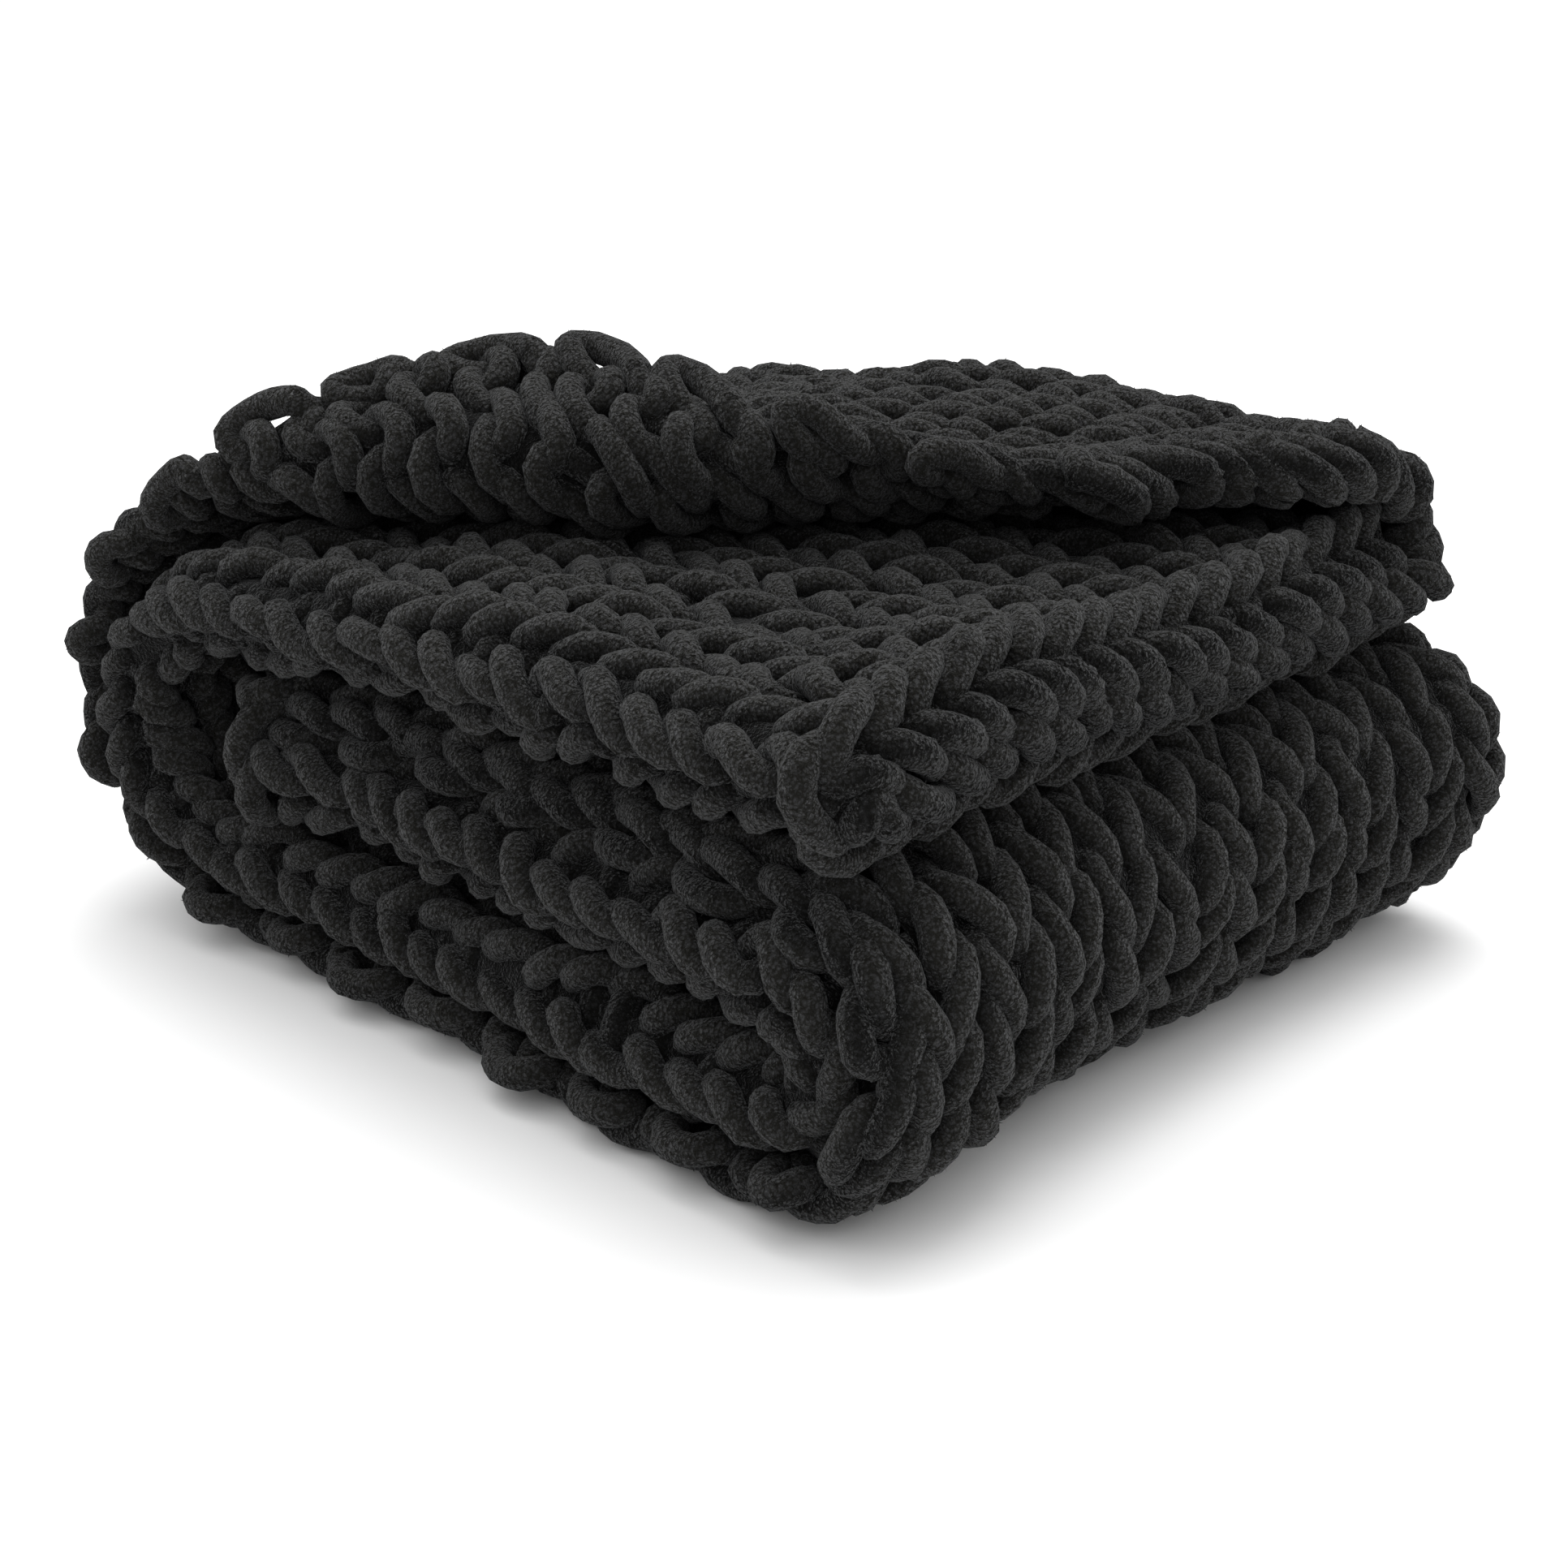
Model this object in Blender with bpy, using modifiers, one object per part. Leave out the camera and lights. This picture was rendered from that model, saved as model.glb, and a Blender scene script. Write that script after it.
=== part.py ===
"""Chunky knitted throw blanket, folded in three across its width and in three along its length.

The cloth is one piece. Two numbers name any place on it: u runs along its length, from the top panel's
end edge to the middle panel's end edge, and v runs across its width, from the selvage that is tucked in
to the selvage that shows. place() takes (u, v) to where that bit of cloth lies in the folded throw.

+X points at the rounded near fold, -Y at the side where the folded edges show, +Z up, and the origin is
at the middle of the bounding box's bottom face. Metres throughout.
"""

import math

import bmesh
import bpy
import numpy as np

# ---------------------------------------------------------------- driving dimensions
THICK = 0.0212  # the knit's own thickness: two yarns of 14 to 15 mm, pressed
PITCH = 0.0252  # layer spacing in the bottom and middle panels
PITCH_TOP = 0.0300  # layer spacing in the top panel, which lies looser
DEPTH = 0.452  # over the folded edges at -Y and the big fold at +Y

X_LEFT = -0.157  # where the panels start to turn into the big left fold
LEFT_SWING = 0.080  # how far the middle sheet swings out past that
X_RIGHT = 0.189  # where the panels start to turn into the near fold
NEAR_SWING = 0.043  # how far the middle sheet swings out past that
NEAR_GAP = 0.004  # extra room between the bottom and middle panels, where the near fold turns tightest
X_TOP_END = 0.232  # the top panel's end edge
X_MID_END = -0.148  # the middle panel's end edge, inside the left fold

CENTRE = (-0.0059, -0.0054)  # middle of the folded throw's outline, which the origin lies under
Z_BOTTOM = PITCH + THICK / 2  # the middle sheet's height in each panel
Z_MID = Z_BOTTOM + 3 * PITCH + NEAR_GAP
Z_TOP = Z_MID + 1.5 * PITCH + 1.5 * PITCH_TOP

# cells of the solid's surface in each stretch of the cloth
CELLS_LENGTH = (("top panel", 17), ("big left fold", 13), ("bottom panel", 7), ("near fold", 14), ("middle panel", 6))
CELLS_WIDTH = (("tucked sheet", 4), ("small fold", 6), ("centre sheet", 4), ("big fold", 7))
CELLS_OUTER = (("to the crown", 4), ("to the foot", 4), ("to the belly", 4), ("to the rim", 5))

# The sheet that lies outermost: its place over the sheet below, from the big fold at +Y forward.
# One row for each station along the length.  u: distance from the top panel's end edge.
# Each further pair gives y, and height over the sheet below in layer spacings, of: the crown behind,
# the foot of the turned-up margin, its belly, and its rim, which is the selvage.
PEEL_COLUMNS = ("u", "y_crown", "n_crown", "y_foot", "n_foot", "y_belly", "n_belly", "y_rim", "n_rim")
PEEL = (
    (0.000, 0.165, 1.15, 0.090, 0.92, 0.050, 0.90, 0.020, 1.05),
    (0.030, 0.162, 1.28, 0.062, 0.92, 0.026, 1.14, 0.008, 1.70),
    (0.065, 0.158, 1.42, 0.044, 0.91, 0.002, 1.42, -0.012, 2.12),
    (0.120, 0.148, 1.55, 0.014, 0.90, -0.028, 1.54, -0.034, 2.40),
    (0.160, 0.142, 1.56, -0.016, 0.90, -0.056, 1.58, -0.048, 2.46),
    (0.205, 0.138, 1.48, -0.052, 0.90, -0.087, 1.60, -0.056, 2.50),
    (0.250, 0.132, 1.34, -0.086, 0.91, -0.116, 1.58, -0.060, 2.52),
    (0.300, 0.124, 1.15, -0.112, 0.93, -0.139, 1.55, -0.070, 2.58),
    (0.350, 0.115, 1.05, -0.130, 0.96, -0.155, 1.54, -0.092, 2.64),
    (0.400, 0.104, 1.00, -0.136, 1.00, -0.173, 1.48, -0.162, 2.40),
    (0.440, 0.094, 1.00, -0.120, 1.00, -0.176, 1.28, -0.197, 1.98),
    (0.480, 0.090, 1.00, -0.104, 1.00, -0.172, 1.12, -0.205, 1.58),
    (0.540, 0.083, 1.00, -0.080, 1.00, -0.160, 1.03, -0.211, 1.14),
    (0.600, 0.083, 1.00, -0.073, 1.00, -0.157, 1.00, -0.211, 1.00),
)
END_PULL = 0.072  # how far the outermost sheet's corner is drawn back from the top panel's end edge

# Where the stack leans, spreads or sinks.  Each row is a soft push: its centre, its reach, and the move there.
LEAN_COLUMNS = ("x", "y", "z", "reach", "dx", "dy", "dz")
LEAN = (
    (0.215, -0.230, 0.040, 0.130, 0.006, -0.012, 0.000),  # the near corner spreads at its foot
    (-0.080, -0.230, 0.050, 0.120, 0.000, 0.010, 0.000),  # the side is drawn in
    (0.230, 0.020, 0.050, 0.110, -0.012, 0.000, 0.000),  # so is the middle of the near fold
    (0.235, 0.225, 0.125, 0.090, 0.010, 0.004, 0.011),  # whose far end is full
    (0.240, 0.150, 0.015, 0.080, -0.010, 0.000, 0.000),  # over a foot that is tucked in
    (0.230, 0.220, 0.225, 0.100, -0.022, -0.010, -0.012),  # the top panel's far corner sits back
    (-0.200, -0.205, 0.250, 0.120, 0.000, 0.000, -0.016),  # the top sinks towards the left fold
    (-0.180, 0.160, 0.250, 0.120, 0.000, 0.000, -0.015),  # along its whole width
)


# ---------------------------------------------------------------- the folded path along the length
def smooth(a, b, x):
    t = np.clip((np.asarray(x, float) - a) / (b - a), 0.0, 1.0)
    return t * t * (3 - 2 * t)


def length_path(per=160):
    """The middle sheet's line in the x-z plane: rows of x, z, normal x, normal z, layer spacing."""
    rows = []

    def straight(x0, x1, z, nz, p):
        x = np.linspace(x0, x1, per)
        rows.append(np.stack([x, 0 * x + z, 0 * x, 0 * x + nz, 0 * x + p], 1))

    def turn(xc, swing, z0, z1, side, p0, p1):
        a = np.linspace(0, math.pi, per)
        zc, rz = (z0 + z1) / 2, (z0 - z1) / 2
        x, z = xc + side * swing * np.sin(a), zc + rz * np.cos(a)
        nx, nz = side * abs(rz) * np.sin(a), np.sign(rz) * swing * np.cos(a)
        size = np.hypot(nx, nz)
        rows.append(np.stack([x, z, nx / size, nz / size, p0 + (p1 - p0) * smooth(0, math.pi, a)], 1))

    straight(X_TOP_END, X_LEFT, Z_TOP, 1.0, PITCH_TOP)
    turn(X_LEFT, LEFT_SWING, Z_TOP, Z_BOTTOM, -1, PITCH_TOP, PITCH)
    straight(X_LEFT, X_RIGHT, Z_BOTTOM, -1.0, PITCH)
    turn(X_RIGHT, NEAR_SWING, Z_BOTTOM, Z_MID, 1, PITCH, PITCH)
    straight(X_RIGHT, X_MID_END, Z_MID, 1.0, PITCH)
    path = np.concatenate([rows[0]] + [r[1:] for r in rows[1:]])
    run = np.concatenate([[0], np.cumsum(np.hypot(np.diff(path[:, 0]), np.diff(path[:, 1])))])
    return run, path


# ---------------------------------------------------------------- the folded path across the width
FOLD_Y = -DEPTH / 2 + THICK / 2 + PITCH / 2  # axis of the small folds at -Y
BIG_Y = DEPTH / 2 - THICK / 2 - PITCH  # axis of the big fold at +Y
TUCK_Y = BIG_Y - 0.004  # the tucked selvage
RIM_Y = -DEPTH / 2 + THICK / 2 + 0.004  # the selvage that shows, where it lies flat


def width_path(per=80):
    """One panel's section: rows of y and height in layer spacings, from the tucked selvage to the one that shows."""
    rows = [np.stack([np.linspace(TUCK_Y, FOLD_Y, per), np.zeros(per)], 1)]
    a = np.linspace(0, math.pi, per)
    rows.append(np.stack([FOLD_Y - PITCH / 2 * np.sin(a), -0.5 + 0.5 * np.cos(a)], 1))
    rows.append(np.stack([np.linspace(FOLD_Y, BIG_Y, per), np.full(per, -1.0)], 1))
    rows.append(np.stack([BIG_Y + PITCH * np.sin(a), -np.cos(a)], 1))
    rows.append(np.stack([np.linspace(BIG_Y, RIM_Y, per), np.full(per, 1.0)], 1))
    path = np.concatenate([rows[0]] + [r[1:] for r in rows[1:]])
    run = np.concatenate([[0], np.cumsum(np.hypot(np.diff(path[:, 0]), PITCH * np.diff(path[:, 1])))])
    return run, path


U_RUN, U_PATH = length_path()
V_RUN, V_PATH = width_path()
LENGTH, WIDTH = float(U_RUN[-1]), float(V_RUN[-1])
V_OUTER = float(V_RUN[4 * 79])  # where the outermost sheet leaves the big fold
U_TOP = X_TOP_END - X_LEFT  # the top panel's length


def hermite(x, xs, ys):
    """Smooth interpolation through the rows of ys (rows, columns) at stations xs."""
    x = np.clip(x, xs[0], xs[-1])
    slope = np.gradient(ys, xs, axis=0)
    i = np.clip(np.searchsorted(xs, x, side="right") - 1, 0, len(xs) - 2)
    h = (xs[i + 1] - xs[i])[..., None]
    t = (x - xs[i])[..., None] / h
    return (
        (2 * t**3 - 3 * t**2 + 1) * ys[i]
        + (t**3 - 2 * t**2 + t) * h * slope[i]
        + (3 * t**2 - 2 * t**3) * ys[i + 1]
        + (t**3 - t**2) * h * slope[i + 1]
    )


def peel_knots(u):
    """The outermost sheet's section at u: y and height at the big fold, crown, foot, belly and rim, and the run between."""
    table = np.array(PEEL)
    row = hermite(u, table[:, 0], table[:, 1:])
    ys = np.stack([np.full(u.shape, BIG_Y), row[..., 0], row[..., 2], row[..., 4], row[..., 6]], -1)
    ns = np.stack([np.ones(u.shape), row[..., 1], row[..., 3], row[..., 5], row[..., 7]], -1)
    step = np.hypot(np.diff(ys, axis=-1), PITCH_TOP * np.diff(ns, axis=-1))
    return ys, ns, np.concatenate([np.zeros(u.shape + (1,)), np.cumsum(step, -1)], -1)


def peel(u, w):
    """y and height of the outermost sheet, at u along and w from 0 at the big fold to 1 at its selvage."""
    ys, ns, knot = peel_knots(u)
    at = w * knot[..., -1]
    y, n = np.zeros(u.shape), np.zeros(u.shape)
    # headings at the knots: level at the big fold, straight on at the foot, halfway at the crown and belly
    leg = np.stack([np.diff(ys, axis=-1), np.diff(ns, axis=-1) * PITCH_TOP], -1)
    leg /= np.maximum(np.linalg.norm(leg, axis=-1, keepdims=True), 1e-9)
    level = np.zeros_like(leg[..., :1, :])
    level[..., 0] = -1.0
    head = np.concatenate(
        [level, leg[..., :1, :] + leg[..., 1:2, :], leg[..., 1:2, :], leg[..., 2:3, :] + leg[..., 3:4, :], leg[..., 3:4, :]], -2
    )
    head *= 1.06 / np.linalg.norm(head, axis=-1, keepdims=True)
    dy, dn = head[..., 0], head[..., 1] / PITCH_TOP
    for k in range(4):
        h = np.maximum(knot[..., k + 1] - knot[..., k], 1e-9)
        t = (at - knot[..., k]) / h
        inside = (t >= 0) & (t <= 1.000001)
        t = np.clip(t, 0, 1)
        h00, h10 = 2 * t**3 - 3 * t**2 + 1, t**3 - 2 * t**2 + t
        h01, h11 = 3 * t**2 - 2 * t**3, t**3 - t**2
        y = np.where(inside, h00 * ys[..., k] + h10 * h * dy[..., k] + h01 * ys[..., k + 1] + h11 * h * dy[..., k + 1], y)
        n = np.where(inside, h00 * ns[..., k] + h10 * h * dn[..., k] + h01 * ns[..., k + 1] + h11 * h * dn[..., k + 1], n)
    return y, n


def lean(spots):
    """Moves points by the soft pushes; the floor side stays flat."""
    moved = spots.copy()
    for x, y, z, reach, dx, dy, dz in LEAN:
        near = np.exp(-(((spots - (x, y, z)) / reach) ** 2).sum(-1))
        lift = smooth(THICK, 0.10, spots[..., 2])
        moved += near[..., None] * np.array([dx, dy, 1.0]) * np.stack([lift * 0 + 1, lift * 0 + 1, lift * dz], -1)
    return moved


def place(u, v):
    """Where the middle of the cloth lies at (u, v)."""
    u, v = np.broadcast_arrays(np.asarray(u, float), np.asarray(v, float))
    x, z, nx, nz, p = (np.interp(u, U_RUN, U_PATH[:, k]) for k in range(5))
    y = np.interp(v, V_RUN, V_PATH[:, 0])
    n = np.interp(v, V_RUN, V_PATH[:, 1])
    outer = v > V_OUTER
    w = np.clip((v - V_OUTER) / (WIDTH - V_OUTER), 0, 1)
    y_free, n_free = peel(u, w)
    y = np.where(outer, y_free, y)
    n = np.where(outer, n_free, n)
    pull = END_PULL * smooth(0, 1, w) * (1 - smooth(0, 0.27, u))
    x = np.where(outer, x - pull, x)
    return lean(np.stack([x + n * p * nx, y, z + n * p * nz], -1)) - (CENTRE[0], CENTRE[1], 0.0)


# ---------------------------------------------------------------- the solid
def stations(run, cells):
    """Evenly spread stations in each stretch of a path, which holds equal numbers of points."""
    per = (len(run) - 1) // len(cells)
    marks = [run[0]]
    for k, (_, count) in enumerate(cells):
        start, end = run[k * per], run[min((k + 1) * per, len(run) - 1)]
        marks += list(start + (end - start) * np.arange(1, count + 1) / count)
    return np.array(marks)


def outer_stations(us):
    """Stations across the outermost sheet for each u, so that its bends fall on the cage's lines."""
    _, _, knot = peel_knots(us)
    part = knot / knot[:, -1:]
    columns = []
    for k, (_, count) in enumerate(CELLS_OUTER):
        for j in range(1, count + 1):
            columns.append(part[:, k] + (part[:, k + 1] - part[:, k]) * j / count)
    return V_OUTER + (WIDTH - V_OUTER) * np.stack(columns, 1)


def build():
    for old in list(bpy.data.objects):
        bpy.data.objects.remove(old, do_unlink=True)
    parts = bpy.data.collections.new("throw_blanket")
    bpy.context.scene.collection.children.link(parts)

    us = stations(U_RUN, CELLS_LENGTH)
    inner = stations(V_RUN[: 4 * 79 + 1], CELLS_WIDTH)
    outer = outer_stations(us)
    vs = np.concatenate([np.tile(inner, (len(us), 1)), outer], 1)
    mesh = bpy.data.meshes.new("throw")
    bm = bmesh.new()
    bmesh.ops.create_grid(bm, x_segments=len(us) - 1, y_segments=vs.shape[1] - 1, size=0.5)
    at = np.array([vert.co for vert in bm.verts])
    iu = np.rint((at[:, 0] + 0.5) * (len(us) - 1)).astype(int)
    iv = np.rint((at[:, 1] + 0.5) * (vs.shape[1] - 1)).astype(int)
    spots = place(us[iu], vs[iu, iv])
    for vert, spot in zip(bm.verts, spots):
        vert.co = spot
    bm.normal_update()
    bm.to_mesh(mesh)
    bm.free()
    mesh.shade_smooth()

    throw = bpy.data.objects.new("throw", mesh)
    parts.objects.link(throw)
    body = throw.modifiers.new("knit thickness", "SOLIDIFY")
    body.thickness = THICK
    body.offset = 0.0
    body.use_even_offset = True

    yarn = bpy.data.materials.new("black chenille knit")
    yarn.use_nodes = True
    shader = yarn.node_tree.nodes["Principled BSDF"]
    shader.inputs["Base Color"].default_value = (0.012, 0.0125, 0.015, 1.0)
    shader.inputs["Roughness"].default_value = 0.95
    shader.inputs["Metallic"].default_value = 0.0
    mesh.materials.append(yarn)
    return throw


build()
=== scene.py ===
"""Chunky knitted throw blanket, folded in three each way: every stitch of its yarn, along the folded cloth.

The cloth is one piece of plain knit. u runs along its length, from the top panel's end edge to the middle
panel's end edge, and v across its width, from the selvage that is tucked in to the selvage that shows.
place() takes (u, v) to where that bit of cloth lies in the folded throw, and each yarn is a line in
(u, v, height over the cloth's middle) that place() lays down.  Metres throughout.
"""

import math

import bpy
import numpy as np
from mathutils import Matrix, Vector


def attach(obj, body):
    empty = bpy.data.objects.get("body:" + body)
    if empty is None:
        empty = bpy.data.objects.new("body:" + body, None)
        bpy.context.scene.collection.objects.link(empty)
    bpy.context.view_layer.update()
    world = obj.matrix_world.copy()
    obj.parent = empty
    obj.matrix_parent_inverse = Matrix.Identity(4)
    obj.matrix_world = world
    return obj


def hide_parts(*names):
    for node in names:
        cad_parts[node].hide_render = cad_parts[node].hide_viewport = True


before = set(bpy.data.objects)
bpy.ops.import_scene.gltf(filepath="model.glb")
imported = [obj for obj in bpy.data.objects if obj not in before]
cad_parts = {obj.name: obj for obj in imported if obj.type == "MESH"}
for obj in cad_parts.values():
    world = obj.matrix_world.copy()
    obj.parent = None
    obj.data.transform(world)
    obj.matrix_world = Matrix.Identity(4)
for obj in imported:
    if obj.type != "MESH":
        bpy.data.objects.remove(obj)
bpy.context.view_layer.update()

# ---------------------------------------------------------------- driving dimensions
THICK = 0.0212  # the knit's own thickness: two yarns of 14 to 15 mm, pressed
PITCH = 0.0252  # layer spacing in the bottom and middle panels
PITCH_TOP = 0.0300  # layer spacing in the top panel, which lies looser
DEPTH = 0.452  # over the folded edges at -Y and the big fold at +Y

X_LEFT = -0.157  # where the panels start to turn into the big left fold
LEFT_SWING = 0.080  # how far the middle sheet swings out past that
X_RIGHT = 0.189  # where the panels start to turn into the near fold
NEAR_SWING = 0.043  # how far the middle sheet swings out past that
NEAR_GAP = 0.004  # extra room between the bottom and middle panels, where the near fold turns tightest
X_TOP_END = 0.232  # the top panel's end edge
X_MID_END = -0.148  # the middle panel's end edge, inside the left fold

CENTRE = (-0.0059, -0.0054)  # middle of the folded throw's outline, which the origin lies under
Z_BOTTOM = PITCH + THICK / 2  # the middle sheet's height in each panel
Z_MID = Z_BOTTOM + 3 * PITCH + NEAR_GAP
Z_TOP = Z_MID + 1.5 * PITCH + 1.5 * PITCH_TOP


# The sheet that lies outermost: its place over the sheet below, from the big fold at +Y forward.
# One row for each station along the length.  u: distance from the top panel's end edge.
# Each further pair gives y, and height over the sheet below in layer spacings, of: the crown behind,
# the foot of the turned-up margin, its belly, and its rim, which is the selvage.
PEEL_COLUMNS = ("u", "y_crown", "n_crown", "y_foot", "n_foot", "y_belly", "n_belly", "y_rim", "n_rim")
PEEL = (
    (0.000, 0.165, 1.48, 0.090, 1.52, 0.050, 1.44, 0.020, 1.42),
    (0.030, 0.162, 1.48, 0.062, 1.30, 0.026, 1.44, 0.008, 1.84),
    (0.065, 0.158, 1.48, 0.044, 1.02, 0.002, 1.48, -0.012, 2.16),
    (0.120, 0.148, 1.52, 0.014, 0.90, -0.028, 1.54, -0.034, 2.36),
    (0.160, 0.142, 1.58, -0.016, 0.90, -0.056, 1.58, -0.048, 2.42),
    (0.205, 0.138, 1.58, -0.052, 0.90, -0.087, 1.60, -0.056, 2.44),
    (0.250, 0.132, 1.44, -0.086, 0.91, -0.116, 1.60, -0.060, 2.60),
    (0.300, 0.124, 1.15, -0.112, 0.93, -0.139, 1.62, -0.070, 2.74),
    (0.350, 0.115, 1.00, -0.130, 0.96, -0.157, 1.60, -0.100, 2.70),
    (0.400, 0.104, 0.96, -0.136, 1.00, -0.174, 1.48, -0.160, 2.20),
    (0.440, 0.094, 1.00, -0.120, 1.00, -0.178, 1.24, -0.198, 1.66),
    (0.480, 0.090, 1.00, -0.104, 1.00, -0.176, 1.12, -0.212, 1.34),
    (0.540, 0.083, 1.00, -0.080, 1.00, -0.170, 1.04, -0.219, 1.06),
    (0.620, 0.083, 1.00, -0.073, 1.00, -0.168, 1.00, -0.217, 0.96),
    (0.760, 0.083, 1.00, -0.073, 1.00, -0.170, 1.00, -0.225, 0.96),
    (0.960, 0.083, 1.00, -0.073, 1.00, -0.170, 1.00, -0.224, 0.96),
    (1.050, 0.083, 1.00, -0.073, 1.00, -0.182, 1.02, -0.222, 0.80),
    (1.150, 0.083, 1.00, -0.073, 1.00, -0.184, 1.02, -0.214, 0.68),
    (1.250, 0.083, 1.00, -0.073, 1.00, -0.184, 1.02, -0.211, 0.64),
)
END_PULL = 0.072  # how far the outermost sheet's corner is drawn back from the top panel's end edge

# Where the stack leans, spreads or sinks.  Each row is a soft push: its centre, its reach, and the move there.
LEAN_COLUMNS = ("x", "y", "z", "reach", "dx", "dy", "dz")
LEAN = (
    (0.215, -0.230, 0.040, 0.130, 0.006, -0.012, 0.000),  # the near corner spreads at its foot
    (-0.080, -0.230, 0.050, 0.120, 0.000, 0.010, 0.000),  # the side is drawn in
    (0.230, 0.020, 0.050, 0.110, -0.012, 0.000, 0.000),  # so is the middle of the near fold
    (0.235, 0.225, 0.125, 0.090, 0.010, 0.004, 0.011),  # whose far end is full
    (0.240, 0.150, 0.015, 0.080, -0.010, 0.000, 0.000),  # over a foot that is tucked in
    (0.230, 0.220, 0.225, 0.100, -0.022, -0.010, -0.012),  # the top panel's far corner sits back
    (-0.200, -0.205, 0.250, 0.120, 0.000, 0.000, -0.016),  # the top sinks towards the left fold
    (-0.180, 0.180, 0.250, 0.120, 0.000, 0.000, -0.021),  # along its whole width
    (0.265, -0.060, 0.000, 0.080, -0.011, 0.000, 0.000),  # the near fold rolls in at its foot
    (0.270, 0.180, 0.165, 0.080, 0.008, 0.004, 0.000),  # and stands out at its top
    (0.240, 0.020, 0.200, 0.060, -0.004, 0.000, -0.007),  # the top panel's end edge dips
    (0.235, -0.120, 0.200, 0.060, 0.002, 0.000, 0.009),  # beside its raised near part
    (0.225, 0.190, 0.235, 0.060, -0.004, 0.000, 0.006),
    (-0.235, -0.215, 0.130, 0.080, -0.006, 0.000, 0.000),  # the left fold's showing edge bulges
)


# ---------------------------------------------------------------- the folded path along the length
def smooth(a, b, x):
    t = np.clip((np.asarray(x, float) - a) / (b - a), 0.0, 1.0)
    return t * t * (3 - 2 * t)


def length_path(per=160):
    """The middle sheet's line in the x-z plane: rows of x, z, normal x, normal z, layer spacing."""
    rows = []

    def straight(x0, x1, z, nz, p):
        x = np.linspace(x0, x1, per)
        rows.append(np.stack([x, 0 * x + z, 0 * x, 0 * x + nz, 0 * x + p], 1))

    def turn(xc, swing, z0, z1, side, p0, p1):
        a = np.linspace(0, math.pi, per)
        zc, rz = (z0 + z1) / 2, (z0 - z1) / 2
        x, z = xc + side * swing * np.sin(a), zc + rz * np.cos(a)
        nx, nz = side * abs(rz) * np.sin(a), np.sign(rz) * swing * np.cos(a)
        size = np.hypot(nx, nz)
        rows.append(np.stack([x, z, nx / size, nz / size, p0 + (p1 - p0) * smooth(0, math.pi, a)], 1))

    straight(X_TOP_END, X_LEFT, Z_TOP, 1.0, PITCH_TOP)
    turn(X_LEFT, LEFT_SWING, Z_TOP, Z_BOTTOM, -1, PITCH_TOP, PITCH)
    straight(X_LEFT, X_RIGHT, Z_BOTTOM, -1.0, PITCH)
    turn(X_RIGHT, NEAR_SWING, Z_BOTTOM, Z_MID, 1, PITCH, PITCH)
    straight(X_RIGHT, X_MID_END, Z_MID, 1.0, PITCH)
    path = np.concatenate([rows[0]] + [r[1:] for r in rows[1:]])
    run = np.concatenate([[0], np.cumsum(np.hypot(np.diff(path[:, 0]), np.diff(path[:, 1])))])
    return run, path


# ---------------------------------------------------------------- the folded path across the width
FOLD_Y = -DEPTH / 2 + THICK / 2 + PITCH / 2  # axis of the small folds at -Y
BIG_Y = DEPTH / 2 - THICK / 2 - PITCH  # axis of the big fold at +Y
TUCK_Y = BIG_Y - 0.004  # the tucked selvage
RIM_Y = -DEPTH / 2 + THICK / 2 + 0.004  # the selvage that shows, where it lies flat


def width_path(per=80):
    """One panel's section: rows of y and height in layer spacings, from the tucked selvage to the one that shows."""
    rows = [np.stack([np.linspace(TUCK_Y, FOLD_Y, per), np.zeros(per)], 1)]
    a = np.linspace(0, math.pi, per)
    rows.append(np.stack([FOLD_Y - PITCH / 2 * np.sin(a), -0.5 + 0.5 * np.cos(a)], 1))
    rows.append(np.stack([np.linspace(FOLD_Y, BIG_Y, per), np.full(per, -1.0)], 1))
    rows.append(np.stack([BIG_Y + PITCH * np.sin(a), -np.cos(a)], 1))
    rows.append(np.stack([np.linspace(BIG_Y, RIM_Y, per), np.full(per, 1.0)], 1))
    path = np.concatenate([rows[0]] + [r[1:] for r in rows[1:]])
    run = np.concatenate([[0], np.cumsum(np.hypot(np.diff(path[:, 0]), PITCH * np.diff(path[:, 1])))])
    return run, path


U_RUN, U_PATH = length_path()
V_RUN, V_PATH = width_path()
LENGTH, WIDTH = float(U_RUN[-1]), float(V_RUN[-1])
V_OUTER = float(V_RUN[4 * 79])  # where the outermost sheet leaves the big fold
U_TOP = X_TOP_END - X_LEFT  # the top panel's length


def hermite(x, xs, ys):
    """Smooth interpolation through the rows of ys (rows, columns) at stations xs."""
    x = np.clip(x, xs[0], xs[-1])
    slope = np.gradient(ys, xs, axis=0)
    i = np.clip(np.searchsorted(xs, x, side="right") - 1, 0, len(xs) - 2)
    h = (xs[i + 1] - xs[i])[..., None]
    t = (x - xs[i])[..., None] / h
    return (
        (2 * t**3 - 3 * t**2 + 1) * ys[i]
        + (t**3 - 2 * t**2 + t) * h * slope[i]
        + (3 * t**2 - 2 * t**3) * ys[i + 1]
        + (t**3 - t**2) * h * slope[i + 1]
    )


def peel_knots(u):
    """The outermost sheet's section at u: y and height at the big fold, crown, foot, belly and rim, and the run between."""
    table = np.array(PEEL)
    row = hermite(u, table[:, 0], table[:, 1:])
    ys = np.stack([np.full(u.shape, BIG_Y), row[..., 0], row[..., 2], row[..., 4], row[..., 6]], -1)
    ns = np.stack([np.ones(u.shape), row[..., 1], row[..., 3], row[..., 5], row[..., 7]], -1)
    step = np.hypot(np.diff(ys, axis=-1), PITCH_TOP * np.diff(ns, axis=-1))
    return ys, ns, np.concatenate([np.zeros(u.shape + (1,)), np.cumsum(step, -1)], -1)


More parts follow.
